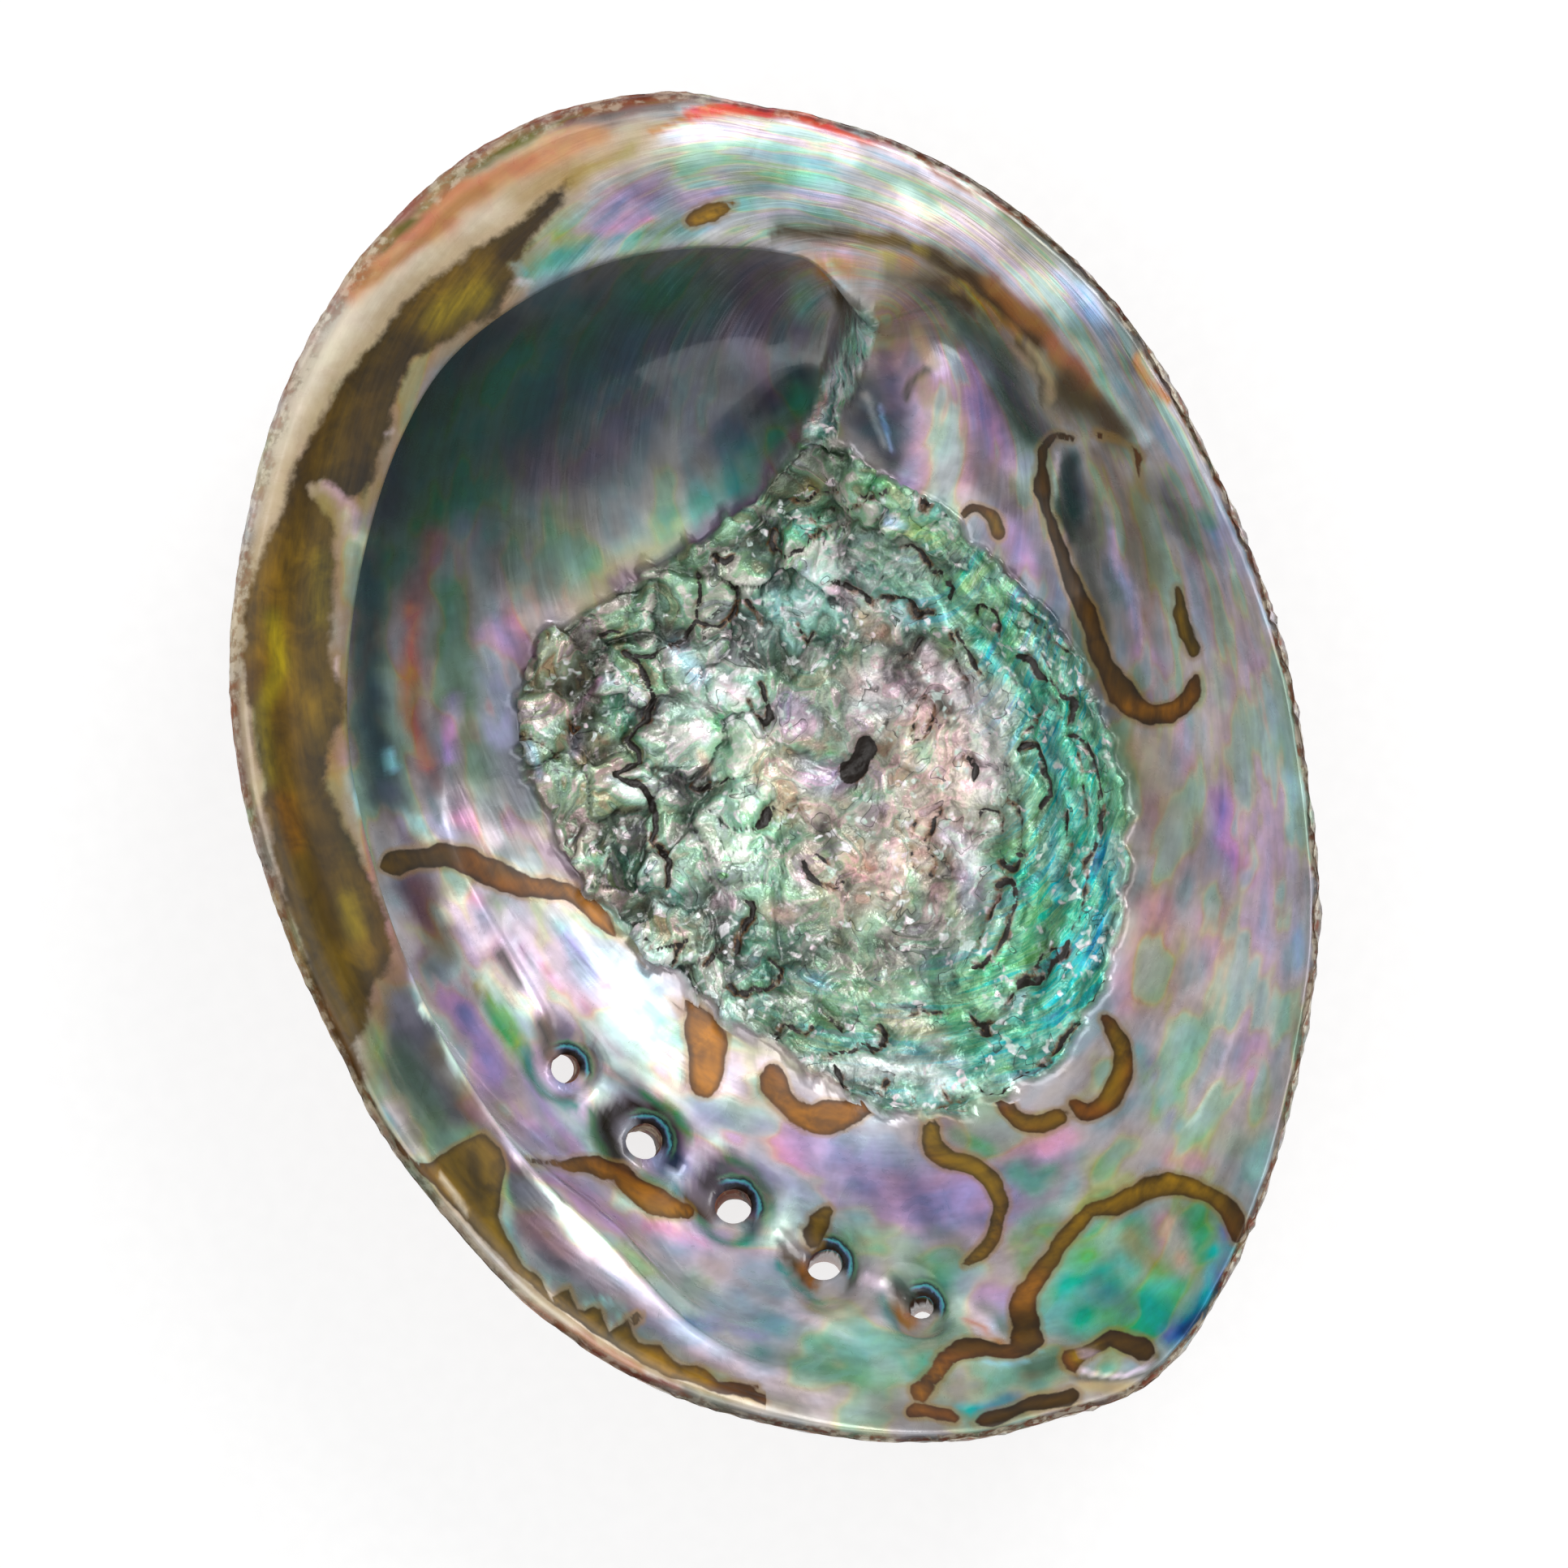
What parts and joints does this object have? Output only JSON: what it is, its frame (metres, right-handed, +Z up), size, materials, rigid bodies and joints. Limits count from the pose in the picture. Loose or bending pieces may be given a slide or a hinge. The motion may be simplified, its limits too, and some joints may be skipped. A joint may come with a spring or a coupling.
{
  "type": "abalone shell",
  "caption": "Ear-shaped sea shell lying on its back as an open bowl, with an inner shelf, a rough muscle scar and a row of breathing holes.",
  "frame": {"origin": "middle of the bounding box in plan, on the surface that the shell lies on", "axes": "+Y along the shell's length towards its spire, +Z up out of the hollow, and +X across it to the side with no shelf"},
  "size_m": [0.1112, 0.1508, 0.0412],
  "materials": {
    "nacre": "gloss"
  },
  "bodies": {
    "root": {"shell": "nacre"}
  },
  "joints": []
}
